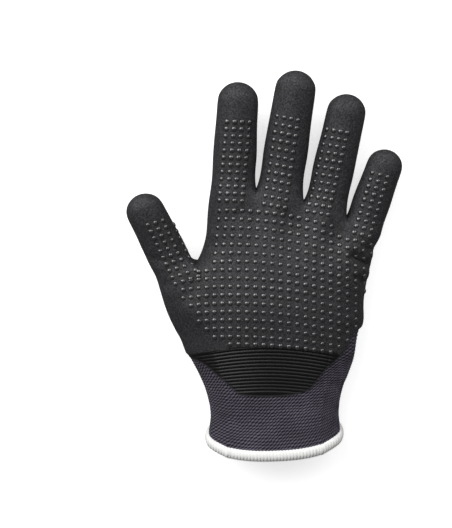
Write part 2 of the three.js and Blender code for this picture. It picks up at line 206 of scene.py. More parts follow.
# Grip dots on the digits, as the camera sees them, in mm from the middle of its view: the first dot, the
# step across a row, the step to the next row, dots in a row, rows
DIGIT_DOTS = (
    (-49.9, 24.6, 4.92, 1.6, 1.95, -4.15, 4, 10),
    (0.5, 90.8, 4.95, -0.15, -0.45, -4.56, 4, 12),
    (32.6, 94.4, 4.5, -0.9, -0.75, -5.08, 4, 12),
    (64.3, 86.0, 4.4, -0.8, -1.11, -4.74, 4, 12),
    (93.3, 58.2, 5.0, -1.4, -1.26, -4.23, 3, 10),
    (82.6, 15.1, 5.1, -1.5, 0.2, -5.2, 3, 3),
)
# Grip dots on the palm: the place of column 0 in the first row, the pitch across and down, and for each
# row its first and last column. Rows sag towards the little finger, the upper ones more.
PALM_DOTS_START = (2.6, 34.1)
PALM_DOTS_PITCH = (5.37, 5.385)
PALM_DOTS_SAG = (2.4e-3, 1.2e-3)
PALM_DOTS_LEFT_SAG = 2.4e-3
PALM_DOTS_LEAN = 2.66
PALM_LAST_ROW_RISE = 0.7
PALM_LEAN_ROWS = 6
PALM_LEAN_COLUMNS = 14
THUMB_SIDE_PITCH = 0.93
# A dot's rings from its foot to its crown: shares of its radius and of its height; its foot lies in the foam
DOT_PROFILE = ((0.98, 0.16), (0.88, 0.44), (0.68, 0.74), (0.42, 0.94), (0.16, 1.0))
DOT_FOOT = -0.5
DOT_MARGIN = 2.5
PALM_ROWS = ((-2, 12), (-2, 14), (-2, 14), (-2, 14), (-2, 16), (-2, 16), (-2, 16), (-4, 16), (-5, 16),
             (-6, 16), (-6, 15), (-5, 15), (-4, 15), (-4, 14), (-3, 14), (-2, 13), (0, 12))


# ---------------------------------------------------------------- the hand form

def make_ring(columns, point_at):
    """One section's loop: top and bottom run left to right, right runs down and left up."""
    span = math.pi - 2 * CORNER
    step = 2 * CORNER / (SIDE_POINTS + 1)
    return {
        "top": [point_at(math.pi - CORNER - span * i / columns) for i in range(columns + 1)],
        "right": [point_at(CORNER - step * (i + 1)) for i in range(SIDE_POINTS)],
        "bottom": [point_at(math.pi + CORNER + span * i / columns) for i in range(columns + 1)],
        "left": [point_at(math.pi + CORNER - step * (i + 1)) for i in range(SIDE_POINTS)],
    }


def loop_of(ring):
    """The ring's points in one turn round it."""
    return ring["top"] + ring["right"] + ring["bottom"][::-1] + ring["left"]


def ring_from(loop, columns):
    """The ring whose points make one loop."""
    a, b = columns + 1, columns + 1 + SIDE_POINTS
    c = b + columns + 1
    return {"top": loop[:a], "right": loop[a:b], "bottom": loop[b:c][::-1], "left": loop[c:]}


def power(value, exponent):
    """A signed power that squares a circle a little."""
    return math.copysign(abs(value) ** (2 / exponent), value)


def hand_ring(columns, left, right, under, over, bow):
    """A wide flat section of the hand between a left and a right point, bowed to the fingers."""
    middle, half = (left + right) / 2, (right - left) / 2
    level = under + SIDE_LEVEL * (over - under)

    def point_at(angle):
        up = math.sin(angle) >= 0
        exponent = PALM_ROUND if up else BACK_FLAT
        across = power(math.cos(angle) / SIDE_REACH, exponent)
        height = power(math.sin(angle), exponent)
        y = middle.y + half.y * across + bow * (height if up else -0.35 * abs(height))
        return Vector((middle.x + half.x * across, y,
                       level + height * ((over - level) if up else (level - under))))

    return make_ring(columns, point_at)


def digit_rings(digit):
    """A digit's rings from its root to its tip, and the pole that closes it."""
    fan = math.radians(digit["fan"])
    forward = Vector((math.sin(fan), math.cos(fan), 0))
    side = Vector((math.cos(fan), -math.sin(fan), 0))
    up = Vector((0, 0, 1))
    root = Vector((digit["across"] * HAND_WIDTH, FORK_LEVEL + digit["along"] * PALM_LENGTH,
                   LINER_WALL + digit["rise"] * HAND_DEPTH))

    def centre(at, lift):
        return root + forward * (at * digit["length"]) + up * (lift * digit["lift"])

    def ring_at(middle, width, depth):
        return make_ring(DIGIT_COLUMNS, lambda angle: middle
                         + side * (math.cos(angle) * width / 2 / SIDE_REACH)
                         + up * (math.sin(angle) * depth / 2))

    rings = [ring_at(centre(at, lift), width * digit["width"], depth * digit["depth"])
             for at, width, depth, lift in DIGIT_SECTIONS]
    reach = TIP_WIDTH * digit["width"] / 2 / digit["length"]
    last_at, last_lift = DIGIT_SECTIONS[-1][0], DIGIT_SECTIONS[-1][3]
    for turn in TIP_ROUND:
        at = 1 - reach + reach * math.sin(math.radians(turn))
        lift = last_lift + (at - last_at) / (1 - last_at) * (1 - last_lift)
        shrink = math.cos(math.radians(turn))
        rings.append(ring_at(centre(at, lift), TIP_WIDTH * digit["width"] * shrink,
                             TIP_DEPTH * digit["depth"] * shrink))
    return {"rings": rings, "pole": centre(1, 1), "root": root, "forward": forward, "side": side}


def join_rings(rings):
    """Sets the neighbouring sides of a row of rings on shared points; gives the ring round them all."""
    for a, b in zip(rings, rings[1:]):
        a["top"][-1] = b["top"][0] = (a["top"][-1] + b["top"][0]) / 2
        a["bottom"][-1] = b["bottom"][0] = (a["bottom"][-1] + b["bottom"][0]) / 2
        for j in range(SIDE_POINTS):
            k = SIDE_POINTS - 1 - j
            a["right"][j] = b["left"][k] = (a["right"][j] + b["left"][k]) / 2
    top, bottom = list(rings[0]["top"]), list(rings[0]["bottom"])
    for ring in rings[1:]:
        top += ring["top"][1:]
        bottom += ring["bottom"][1:]
    return {"top": top, "right": rings[-1]["right"], "bottom": bottom, "left": rings[0]["left"]}


def relief_of(ring, columns):
    """How far a shaped row stands away from the plain section between its own two ends."""
    loop = loop_of(ring)
    left = (ring["left"][0] + ring["left"][1]) / 2
    right = (ring["right"][0] + ring["right"][1]) / 2
    plain = hand_ring(columns, left, right, min(p.z for p in loop), max(p.z for p in loop), 0)
    return [p - q for p, q in zip(loop, loop_of(plain))]


def with_relief(ring, columns, relief, share):
    """The ring with a share of a relief, laid flat where it meets the ground."""
    loop = [p + r * share for p, r in zip(loop_of(ring), relief)]
    for point in loop:
        point.z = max(point.z, LINER_WALL)
    return ring_from(loop, columns)


def hand_form():
    """The rings of the trunk, of the palm and of each digit."""
    digits = {name: digit_rings(digit) for name, digit in DIGITS.items()}
    knuckles = join_rings([digits[name]["rings"][0] for name in FINGERS])
    relief = relief_of(knuckles, PALM_COLUMNS)
    back = LINER_WALL - REST_SINK
    palm = []
    for left, right, left_along, right_along, over, share in PALM_SECTIONS:
        a = Vector((left * HAND_WIDTH, FORK_LEVEL + left_along * PALM_LENGTH, 0))
        b = Vector((right * HAND_WIDTH, FORK_LEVEL + right_along * PALM_LENGTH, 0))
        ring = hand_ring(PALM_COLUMNS, a, b, back, LINER_WALL + over * HAND_DEPTH, 0)
        palm.append(with_relief(ring, PALM_COLUMNS, relief, share))
    fork = join_rings([digits["thumb"]["rings"][0], palm[0]])
    relief = relief_of(fork, TRUNK_COLUMNS)
    trunk = []
    for along, left, right, lead, bow, over, lift in CUFF_SECTIONS:
        y = along * CUFF_LENGTH
        under = LINER_WALL + lift * HEM_PROUD
        trunk.append(hand_ring(TRUNK_COLUMNS, Vector((left * CUFF_WIDTH, y, 0)),
                               Vector((right * CUFF_WIDTH, y + lead * CUFF_LENGTH, 0)),
                               under, under + over * CUFF_DEPTH, bow * CUFF_LENGTH))
    for along, left, right, lead, bow, over, share in HEEL_SECTIONS:
        y = CUFF_LENGTH + along * HEEL_LENGTH
        ring = hand_ring(TRUNK_COLUMNS, Vector((left * HAND_WIDTH, y, 0)),
                         Vector((right * HAND_WIDTH, y + lead * HEEL_LENGTH, 0)),
                         back, LINER_WALL + over * HAND_DEPTH, bow * HEEL_LENGTH)
        trunk.append(with_relief(ring, TRUNK_COLUMNS, relief, share))
    return trunk + [fork], palm + [knuckles], digits


def form_cage():
    """The hand form as faces between its rings, with each face's knit zone and stitch coordinates."""
    trunk, palm, digits = hand_form()
    split = int(SEAM_SECTION)
    seam = ring_from([(p + q) / 2 for p, q in zip(loop_of(trunk[split]), loop_of(trunk[split + 1]))],
                     TRUNK_COLUMNS)
    points, places, faces, zones, stitches = [], {}, [], [], []

    def vertex(point):
        if id(point) not in places:
            places[id(point)] = len(points)
            points.append(point)
        return places[id(point)]

    def add_rows(rings, columns, zone, course):
        wales = ([WALES_FACE] * columns + [WALES_SIDE] * (SIDE_POINTS + 1)) * 2
        for lower, upper in zip(rings, rings[1:]):
            a, b = loop_of(lower), loop_of(upper)
            rise = sum((p - q).length for p, q in zip(a, b)) / len(a) / COURSE_HEIGHT
            for i, wale in enumerate(wales):
                j = (i + 1) % len(a)
                faces.append([vertex(p) for p in (a[i], a[j], b[j], b[i])])
                zones.append(zone)
                stitches.append([(0, course), (wale, course), (wale, course + rise), (0, course + rise)])
            course += rise
        return course

    course = add_rows(trunk[:split + 1] + [seam], TRUNK_COLUMNS, CUFF_ZONE, 0)
    course = add_rows([seam] + trunk[split + 1:], TRUNK_COLUMNS, HAND_ZONE, course)
    knuckle_course = add_rows(palm, PALM_COLUMNS, HAND_ZONE, course)
    for name, digit in digits.items():
        end = add_rows(digit["rings"], DIGIT_COLUMNS, HAND_ZONE,
                       course if name == "thumb" else knuckle_course)
        last = loop_of(digit["rings"][-1])
        for i, point in enumerate(last):
            faces.append([vertex(p) for p in (point, last[(i + 1) % len(last)], digit["pole"])])
            zones.append(HAND_ZONE)
            stitches.append([(0, end), (WALES_FACE, end), (WALES_FACE / 2, end + 2)])
    return points, faces, zones, stitches, trunk, digits


def disturb(points, normals):
    """Presses the folds into the form and lets it ripple a little, off the ground."""
    facing = np.clip(normals[:, 2] * FOLD_FACING, 0, 1)
    lip, lip_place, lip_sharp = FOLD_LIP
    sink = np.zeros(len(points))
    for x0, y0, x1, y1, width, depth in FOLDS:
        start, run = np.array((x0, y0)), np.array((x1 - x0, y1 - y0))
        share = np.clip(((points[:, :2] - start) @ run) / (run @ run), 0, 1)
        away = np.linalg.norm(points[:, :2] - start - share[:, None] * run, axis=1) / width
        sink += depth * np.exp(-away ** 2) - depth * lip * np.exp(-(away - lip_place) ** 2 * lip_sharp)
    ripple = np.array([noise.noise(Vector(p) / RIPPLE_LENGTH) for p in points])
    clear = np.clip((points[:, 2] - LINER_WALL) / FOLD_CLEAR, 0, 1)
    lift = (RIPPLE_HEIGHT * ripple - sink * facing) * clear
    return points + normals * lift[:, None]


@functools.lru_cache(maxsize=1)
def smooth_form():
    """The hand form as a fine smooth skin: places, outward directions, faces, zones, stitches (mm)."""
    points, faces, zones, stitches, trunk, digits = form_cage()
    mesh = bpy.data.meshes.new("hand_form")
    mesh.from_pydata(points, [], faces)
    for name in ("cuff_zone", "hand_zone"):
        mesh.materials.append(bpy.data.materials.new(name))
    mesh.polygons.foreach_set("material_index", zones)
    layer = mesh.uv_layers.new(name="stitches")
    layer.data.foreach_set("uv", [value for face in stitches for corner in face for value in corner])
    cage = bpy.data.objects.new("hand_form", mesh)
    bpy.context.collection.objects.link(cage)
    smooth = cage.modifiers.new("smooth", "SUBSURF")
    smooth.levels = smooth.render_levels = LEVELS
    smooth.uv_smooth = "NONE"
    target = np.array([p[:] for p in points])
    control = target.copy()
    for _ in range(3):
        control += target - evaluated(cage)[0][:len(target)]
        mesh.vertices.foreach_set("co", control.ravel())
        mesh.update()
    places, normals, quads, zone, uvs = evaluated(cage)
    places[:, 2] = np.maximum(places[:, 2], LINER_WALL)
    places = disturb(places, normals)
    places[:, 2] = np.maximum(places[:, 2], LINER_WALL)
    normals = outward(places, quads)
    bpy.data.objects.remove(cage)
    for material in list(mesh.materials):
        bpy.data.materials.remove(material)
    bpy.data.meshes.remove(mesh)

    hand = np.unique(quads[zone == HAND_ZONE])
    low, high = (np.array(corner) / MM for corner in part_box("knit_hand"))
    shell_places = places[hand] + normals[hand] * LINER_WALL
    origin = (low + high - shell_places.min(0) - shell_places.max(0)) / 2
    origin[2] = 0
    return dict(places=places, normals=normals, quads=quads, zone=zone, uvs=uvs, origin=origin,
                trunk=trunk, digits=digits)


def evaluated(cage):
    """The cage's smoothed skin as arrays."""
    bpy.context.view_layer.update()
    view = cage.evaluated_get(bpy.context.evaluated_depsgraph_get())
    mesh = view.to_mesh()
    count, corners, sides = len(mesh.vertices), len(mesh.loops), len(mesh.polygons)
    places, normals = np.empty(count * 3), np.empty(count * 3)
    loops, zone, uvs = np.empty(corners, int), np.empty(sides, int), np.empty(corners * 2)
    mesh.vertices.foreach_get("co", places)
    mesh.vertices.foreach_get("normal", normals)
    mesh.loops.foreach_get("vertex_index", loops)
    mesh.polygons.foreach_get("material_index", zone)
    mesh.uv_layers[0].data.foreach_get("uv", uvs)
    view.to_mesh_clear()
    return (places.reshape(-1, 3), normals.reshape(-1, 3), loops.reshape(-1, 4), zone,
            uvs.reshape(-1, 4, 2))


def outward(places, quads):
    """Area-weighted directions out of a skin of quads."""
    facing = np.cross(places[quads[:, 2]] - places[quads[:, 0]], places[quads[:, 3]] - places[quads[:, 1]])
    normals = np.zeros_like(places)
    for corner in range(4):
        np.add.at(normals, quads[:, corner], facing)
    return normals / np.maximum(np.linalg.norm(normals, axis=1), 1e-9)[:, None]


# ---------------------------------------------------------------- curves and regions on the form

def spline(points, steps):
    """A smooth curve through flat points, with even steps in each span."""
    points = np.array(points, float)
    ends = np.vstack([2 * points[0] - points[1], points, 2 * points[-1] - points[-2]])
    curve = [catmull(ends[i:i + 4], t) for i in range(len(points) - 1) for t in np.arange(steps) / steps]
    return np.array(curve + [points[-1]])


def catmull(four, t):
    """The point at t between the middle two of four neighbours."""
    weights = ((-t ** 3 + 2 * t ** 2 - t) / 2, (3 * t ** 3 - 5 * t ** 2 + 2) / 2,
               (-3 * t ** 3 + 4 * t ** 2 + t) / 2, (t ** 3 - t ** 2) / 2)
    return sum(weight * place for weight, place in zip(weights, four))


def distance_to(points, line):
    """The distance of flat points from a line of flat points."""
    best = np.full(len(points), np.inf)
    for a, b in zip(line, line[1:]):
        run = b - a
        share = np.clip(((points - a) @ run) / max(run @ run, 1e-9), 0, 1)
        best = np.minimum(best, ((points - a - share[:, None] * run) ** 2).sum(1))
    return np.sqrt(best)


def inside(points, outline):
    """Whether flat points lie in a closed outline."""
    hit = np.zeros(len(points), bool)
    for (x0, y0), (x1, y1) in zip(outline, np.roll(outline, -1, axis=0)):
        if y0 == y1:
            continue
        spans = (points[:, 1] >= y0) != (points[:, 1] >= y1)
        hit ^= spans & (points[:, 0] < x0 + (points[:, 1] - y0) * (x1 - x0) / (y1 - y0))
    return hit


@functools.lru_cache(maxsize=1)
def region_lines():
    """The dip edge across the wrist, and the window left bare on the back."""
    digits = smooth_form()["digits"]
    dip = spline([(a * HAND_WIDTH, CUFF_LENGTH + b * HEEL_LENGTH) for a, b in DIP_EDGE], 6)
    thumb = spline([(a * HAND_WIDTH, FORK_LEVEL + b * PALM_LENGTH) for a, b in THUMB_EDGE], 5)
    sides = [(left * HAND_WIDTH + WINDOW_MARGIN, FORK_LEVEL + left_along * PALM_LENGTH)
             for left, _, left_along, _, _, _ in PALM_SECTIONS[1:]]
    for name in FINGERS:
        root, forward, side = (digits[name][key] for key in ("root", "forward", "side"))
        half = DIGITS[name]["width"] / 2 - WINDOW_MARGIN
        reach = WINDOW_REACH * DIGITS[name]["length"]
        for i in range(25):
            turn = math.pi * (1 - i / 24)
            tip = max(math.sin(turn), 0)
            place = root + side * (half * math.cos(turn)) + forward * (reach * tip ** 1.15)
            sides.append((place.x, place.y))
    for _, right, _, right_along, _, _ in PALM_SECTIONS[::-1]:
        sides.append((right * HAND_WIDTH - WINDOW_MARGIN, FORK_LEVEL + right_along * PALM_LENGTH))
    far = 4 * HAND_WIDTH
    edge = np.vstack([thumb, np.array(sides), dip[2:3]])
    window = np.vstack([[(-far, -far), (-far, thumb[0][1])], edge, [(far, dip[0][1]), (far, -far)]])
    return dip, window


def coated(places, levels):
    """How far inside the coating each place of the form is: below 0 it is bare (mm)."""
    dip, window = region_lines()
    flat = places[:, :2]
    order = np.argsort(dip[:, 0])
    above = flat[:, 1] - np.interp(flat[:, 0], dip[order, 0], dip[order, 1])
    dip_depth = distance_to(flat, dip) * np.sign(above)
    window_depth = distance_to(flat, window) * np.where(inside(flat, window), -1, 1)
    return np.minimum(dip_depth, np.maximum(window_depth, levels - WINDOW_HEIGHT))


def arc_level(places):
    """The level along the glove of the rib's arc through each place (mm)."""
    return places[:, 1] + RIB_SAG * (places[:, 0] - RIB_MIDDLE) ** 2


# ---------------------------------------------------------------- fine places on the trunk

def trunk_point(columns, rows):
    """Places and outward directions on the trunk at fractions of its columns and rings."""
    grid = np.array([[p[:] for p in loop_of(ring)] for ring in smooth_form()["trunk"]])
    grid = np.concatenate([2 * grid[:1] - grid[1:2], grid, 2 * grid[-1:] - grid[-2:-1]])
    i = np.clip(np.floor(rows).astype(int), 0, len(grid) - 4)
    j = np.floor(columns).astype(int)
    s, t = (rows - i)[:, None], (columns - j)[:, None]
    around = grid.shape[1]

    def at(s, t):
        lines = [catmull([grid[i + k, (j + m - 1) % around] for m in range(4)], t) for k in range(4)]
        return catmull(lines, s)

    place, step = at(s, t), 0.01
    normal = np.cross(at(s, t + step) - place, at(s + step, t) - place)
    place[:, 2] = np.maximum(place[:, 2], LINER_WALL)
    return place, normal / np.linalg.norm(normal, axis=1)[:, None]


def even_columns(row, pitch, steps):
    """Columns at even steps round the trunk, with a whole number of pitches."""
    fine = np.arange(0, 2 * TRUNK_COLUMNS + 2 * (SIDE_POINTS + 1) + 0.05, 0.1)
    edge = trunk_point(fine, np.full(len(fine), float(row)))[0]
    travelled = np.concatenate([[0], np.cumsum(np.linalg.norm(np.diff(edge, axis=0), axis=1))])
    number = round(travelled[-1] / pitch)
    return np.interp(np.arange(number * steps) / (number * steps) * travelled[-1], travelled, fine)


def arc_rows(columns, levels):
    """The fractions of the rings at which each column meets each rib's arc, level by level."""
    rows = np.linspace(-0.5, len(smooth_form()["trunk"]) - 1, 200)
    reached = [arc_level(trunk_point(np.full(len(rows), column), rows)[0]) for column in columns]
    return np.stack([np.interp(levels, np.maximum.accumulate(line), rows) for line in reached], axis=1)


# ---------------------------------------------------------------- mesh helpers

def hex_colour(text):
    """An sRGB hex colour as the linear one that shaders use."""
    values = [int(text[i:i + 2], 16) / 255 for i in (1, 3, 5)]
    return [v / 12.92 if v <= 0.04045 else ((v + 0.055) / 1.055) ** 2.4 for v in values] + [1.0]


def shade_of(colour, factor):
    """A darker or paler version of a colour."""
    return tuple(min(channel * factor, 1) for channel in colour[:3]) + (1.0,)


def add(tree, kind, inputs=None, **settings):
    """Adds a node with its settings, and feeds its inputs from values or from other nodes."""
    node = tree.nodes.new(kind)
    for key, value in settings.items():
        setattr(node, key, value)
    for key, value in (inputs or {}).items():
        if isinstance(value, bpy.types.Node):
            value = value.outputs[0]
        if isinstance(value, bpy.types.NodeSocket):
            tree.links.new(value, node.inputs[key])
        else:
            node.inputs[key].default_value = value
    return node


def new_material(name):
    """An empty material, its node tree and its shader."""
    material = bpy.data.materials.new(name)
    material.use_nodes = True
    tree = material.node_tree
    return material, tree, tree.nodes["Principled BSDF"]


def finish_surface(tree, shader, colour, height, strength, depth, values):
    """Gives the shader its colour, its relief (mm) and its plain values."""
    tree.links.new(colour, shader.inputs["Base Color"])
    bump = add(tree, "ShaderNodeBump", {"Strength": strength, "Distance": depth * MM, "Height": height})
    tree.links.new(bump.outputs[0], shader.inputs["Normal"])
    for key, value in values.items():
        shader.inputs[key].default_value = value


def from_middle(tree, value):
    """How far a repeating value is from the middle of its turn, from 0 to 0.5."""
    turn = add(tree, "ShaderNodeMath", {0: value}, operation="FRACT")
    off = add(tree, "ShaderNodeMath", {0: turn, 1: 0.5}, operation="SUBTRACT")
    return add(tree, "ShaderNodeMath", {0: off}, operation="ABSOLUTE")


def piece_from(name, places, faces, material, node=None, uvs=None, fields=None):
    """A finished piece of the glove from places in mm on the form, in place of its CAD node."""
    mesh = bpy.data.meshes.new(name)
    mesh.from_pydata((places + smooth_form()["origin"]) * MM, [], faces)
    if mesh.validate():
        raise RuntimeError(name + ": the faces aren't sound")
    if uvs is not None:
        layer = mesh.uv_layers.new(name="stitches")
        layer.data.foreach_set("uv", np.asarray(uvs, np.float32).ravel())
    for key, values in (fields or {}).items():
        field = mesh.attributes.new(key, "FLOAT", "POINT")
        field.data.foreach_set("value", np.asarray(values, np.float32))
    mesh.materials.append(material)
    mesh.polygons.foreach_set("use_smooth", np.ones(len(mesh.polygons), bool))
    mesh.update()
    piece = bpy.data.objects.new(name, mesh)
    bpy.context.collection.objects.link(piece)
    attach(piece, "root")
    if node:
        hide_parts(node)
    return piece


def shell(outer, inner, faces, uvs):
    """A closed shell from an outer and an inner skin on the same faces."""
    count = len(outer)
    edges = {}
    for face in faces:
        for a, b in zip(face, face[1:] + face[:1]):
            if edges.pop((b, a), None) is None:
                edges[(a, b)] = True
    rims = [[b, a, a + count, b + count] for a, b in edges]
    back = [[v + count for v in face[::-1]] for face in faces]
    corner = {v: uv for face, ring in zip(faces, uvs) for v, uv in zip(face, ring)}
    loops = [uv for ring in uvs for uv in ring]
    loops += [uv for ring in uvs for uv in ring[::-1]]
    loops += [corner[v] for a, b in edges for v in (b, a, a, b)]
    return np.vstack([outer, inner]), faces + back + rims, loops


def compact(arrays, faces):
    """Keeps only the places that faces use."""
    used, where = np.unique([v for face in faces for v in face], return_inverse=True)
    places = iter(where.tolist())
    return [array[used] for array in arrays], [[next(places) for _ in face] for face in faces]


def clipped(arrays, faces, uvs, field):
    """Cuts faces off where the field is below 0, with new places on its zero line."""
    extra, cuts, kept, kept_uvs = {}, [], [], []
    values = field.tolist()
    for face, ring in zip(faces.tolist(), uvs):
        signs = [values[v] >= 0 for v in face]
        if all(signs):
            kept.append(face)
            kept_uvs.append([tuple(uv) for uv in ring])
        elif any(signs):
            shape, shape_uvs = [], []
            for i, a in enumerate(face):
                j = (i + 1) % len(face)
                b = face[j]
                if signs[i]:
                    shape.append(a)
                    shape_uvs.append(tuple(ring[i]))
                if signs[i] != signs[j]:
                    low, high = min(a, b), max(a, b)
                    if (low, high) not in extra:
                        extra[low, high] = len(field) + len(cuts)
                        cuts.append((low, high, values[low] / (values[low] - values[high])))
                    share = values[a] / (values[a] - values[b])
                    shape.append(extra[low, high])
                    shape_uvs.append(tuple(ring[i] + (ring[j] - ring[i]) * share))
            kept.append(shape)
            kept_uvs.append(shape_uvs)
    if cuts:
        a, b, share = (np.array(column) for column in zip(*cuts))
        a, b = a.astype(int), b.astype(int)
        blend = [array[a] + (array[b] - array[a]) * (share[:, None] if array.ndim > 1 else share)
                 for array in arrays]
        arrays = [np.concatenate([array, new]) for array, new in zip(arrays, blend)]
    arrays, kept = compact(arrays, kept)
    return arrays, kept, kept_uvs


def rounded_edge(depth):
    """How far the coating has risen to its full wall at a depth inside its edge."""
    share = np.clip(depth / COATING_TAPER, 0, 1)
    return COATING_EDGE + (COATING_OUTER - COATING_EDGE) * np.sqrt(1 - (1 - share) ** 2)


def grid_faces(rows, columns, closed):
    """Quads of a grid of places, row by row, that may close on itself across."""
    last = columns if closed else columns - 1
    return [[r * columns + c, r * columns + (c + 1) % columns, (r + 1) * columns + (c + 1) % columns,
             (r + 1) * columns + c] for r in range(rows - 1) for c in range(last)]


# ---------------------------------------------------------------- knit

class GloveKnitSettings(bpy.types.PropertyGroup):
    hand_colour: FloatVectorProperty(name="Hand knit", description="Colour of the fine knit of the hand",
                                     subtype="COLOR", size=4, default=hex_colour("#77757F"))
    cuff_colour: FloatVectorProperty(name="Cuff knit", description="Colour of the coarse elastic cuff",
                                     subtype="COLOR", size=4, default=hex_colour("#343139"))
    cuff_relief: FloatProperty(name="Cuff relief", description="Height of a wale on the cuff",
                               default=0.75 * MM, min=0, unit="LENGTH")
    hand_relief: FloatProperty(name="Hand relief", description="Height of a wale on the hand",
                               default=0.12 * MM, min=0, unit="LENGTH")


def knit_material(name, colour, slant, depth):
    """Textured polyamide yarn in plain knit: columns of V-shaped stitches, with painted shade between them.
    """
    material, tree, shader = new_material(name)
    stitch = add(tree, "ShaderNodeUVMap", uv_map="stitches")
    parts = add(tree, "ShaderNodeSeparateXYZ", {0: stitch})
    # Place across the wale, from its middle to the groove beside it
    side = from_middle(tree, parts.outputs[0])
    # Each course leans up to both sides, which makes the legs of the V
    lean = add(tree, "ShaderNodeMath", {0: side, 1: slant, 2: parts.outputs[1]}, operation="MULTIPLY_ADD")
    leg = add(tree, "ShaderNodeMapRange",
              {"Value": from_middle(tree, lean), "From Min": 0.5, "From Max": 0.22},
              interpolation_type="SMOOTHSTEP")
    wale = add(tree, "ShaderNodeMapRange", {"Value": side, "From Min": 0.5, "From Max": 0.3},
               interpolation_type="SMOOTHSTEP")
    height = add(tree, "ShaderNodeMath", {0: leg, 1: wale}, operation="MULTIPLY")
    # Yarn fibres of about 0.2 mm, and a slow change of shade over the cloth
    place = add(tree, "ShaderNodeTexCoord").outputs["Object"]
    fibre = add(tree, "ShaderNodeTexNoise", {"Vector": place, "Scale": 4200, "Detail": 2})
    cloud = add(tree, "ShaderNodeTexNoise", {"Vector": place, "Scale": 110, "Detail": 3})
    shade = add(tree, "ShaderNodeMix", {0: 0.35, 2: height, 3: fibre})
    # The stitch pattern also sets the colour: the gaps between the stitches are painted darker as their
    # shade
    yarn = add(tree, "ShaderNodeMix", {0: shade, 6: shade_of(colour, 0.34), 7: shade_of(colour, 1.32)},
               data_type="RGBA")
    tone = add(tree, "ShaderNodeMapRange", {"Value": cloud, "To Min": 0.86, "To Max": 1.12})
    final = add(tree, "ShaderNodeVectorMath", {0: yarn.outputs[2], "Scale": tone}, operation="SCALE")
    finish_surface(tree, shader, final.outputs[0], shade, 0.8, depth,
                   {"Roughness": 0.86, "Sheen Weight": 0.12, "Sheen Roughness": 0.5})
    return material


def cuff_material(colour):
    """Elastic polyamide yarn in an open knit: slanting loops, with a hole between every four painted black
    as its shade.
    """
    material, tree, shader = new_material("elastic_cuff_knit")
    stitch = add(tree, "ShaderNodeUVMap", uv_map="stitches")
    place = add(tree, "ShaderNodeTexCoord").outputs["Object"]
    # Loops of 2 mm that wander by a fifth of their size over 8 mm of cloth
    drift = add(tree, "ShaderNodeTexNoise", {"Vector": place, "Scale": 130, "Detail": 2})
    wander = add(tree, "ShaderNodeVectorMath", {0: drift.outputs["Color"], 1: (0.5, 0.5, 0.5)},
                 operation="SUBTRACT")
    moved = add(tree, "ShaderNodeVectorMath", {0: wander, 1: (1.1, 0.9, 0), 2: stitch},
                operation="MULTIPLY_ADD")
    parts = add(tree, "ShaderNodeSeparateXYZ", {0: moved})
    # Courses run across, and the legs of the loops slant up to the right
    rows = add(tree, "ShaderNodeMath", {0: parts.outputs[1], 1: 2 * math.pi}, operation="MULTIPLY")
    course = add(tree, "ShaderNodeMath", {0: rows}, operation="COSINE")
    slant = add(tree, "ShaderNodeMath", {0: parts.outputs[1], 1: -CUFF_LEAN, 2: parts.outputs[0]},
                operation="MULTIPLY_ADD")
    lines = add(tree, "ShaderNodeMath", {0: slant, 1: 2 * math.pi}, operation="MULTIPLY")
    leg = add(tree, "ShaderNodeMath", {0: lines}, operation="COSINE")
    loops = add(tree, "ShaderNodeMath", {0: leg, 1: 1.3, 2: course}, operation="MULTIPLY_ADD")
    yarn = add(tree, "ShaderNodeMapRange", {"Value": loops, "From Min": -1.2, "From Max": 1.5},
               interpolation_type="SMOOTHSTEP")
    # Yarn fibres of about 0.4 mm, and a slow change of shade over the cloth
    fibre = add(tree, "ShaderNodeTexNoise", {"Vector": place, "Scale": 2300, "Detail": 3})
    cloud = add(tree, "ShaderNodeTexNoise", {"Vector": place, "Scale": 60, "Detail": 3})
    shade = add(tree, "ShaderNodeMix", {0: 0.18, 2: yarn, 3: fibre})
    # The yarn keeps its colour on the loops, and the holes between them are painted black as their shade
    yarn_and_hole_shade = add(tree, "ShaderNodeMix", {0: shade, 6: (0, 0, 0, 1), 7: shade_of(colour, 3.2)},
               data_type="RGBA")
    tone = add(tree, "ShaderNodeMapRange", {"Value": cloud, "From Min": 0.3, "From Max": 0.7,
                                            "To Min": 0.8, "To Max": 1.2})
    final = add(tree, "ShaderNodeVectorMath", {0: yarn_and_hole_shade.outputs[2], "Scale": tone}, operation="SCALE")
    finish_surface(tree, shader, final.outputs[0], shade, 0.8, 0.45,
                   {"Roughness": 0.8, "Specular IOR Level": 0.12, "Sheen Weight": 0.05,
                    "Sheen Roughness": 0.5})
    return material


class GLOVE_OT_hand_knit(bpy.types.Operator):
    """Adds the fine knit liner of the hand and its five digits"""
    bl_idname = "glove.hand_knit"
    bl_label = "Hand knit"

    def execute(self, context):
        settings = context.scene.glove_knit
        form = smooth_form()
        chosen = form["zone"] == HAND_ZONE
        quads, uvs = form["quads"][chosen], form["uvs"][chosen]
        rise = np.zeros(len(form["places"]))
        rise[quads.ravel()] = np.abs(np.sin(np.pi * uvs[:, :, 0])).ravel()
        (places, normals, rise), faces = compact([form["places"], form["normals"], rise], quads.tolist())
        relief = settings.hand_relief / MM
        outer = places + normals * (LINER_WALL - relief / 2 + relief * rise)[:, None]
        outer[:, 2] = np.maximum(outer[:, 2], 0)
        skin, faces, loops = shell(outer, places, faces, uvs.tolist())
        material = knit_material("fine_polyamide_knit", settings.hand_colour, 1.1, 0.25)
        piece_from("hand_liner", skin, faces, material, "knit_hand", loops)
        return {"FINISHED"}


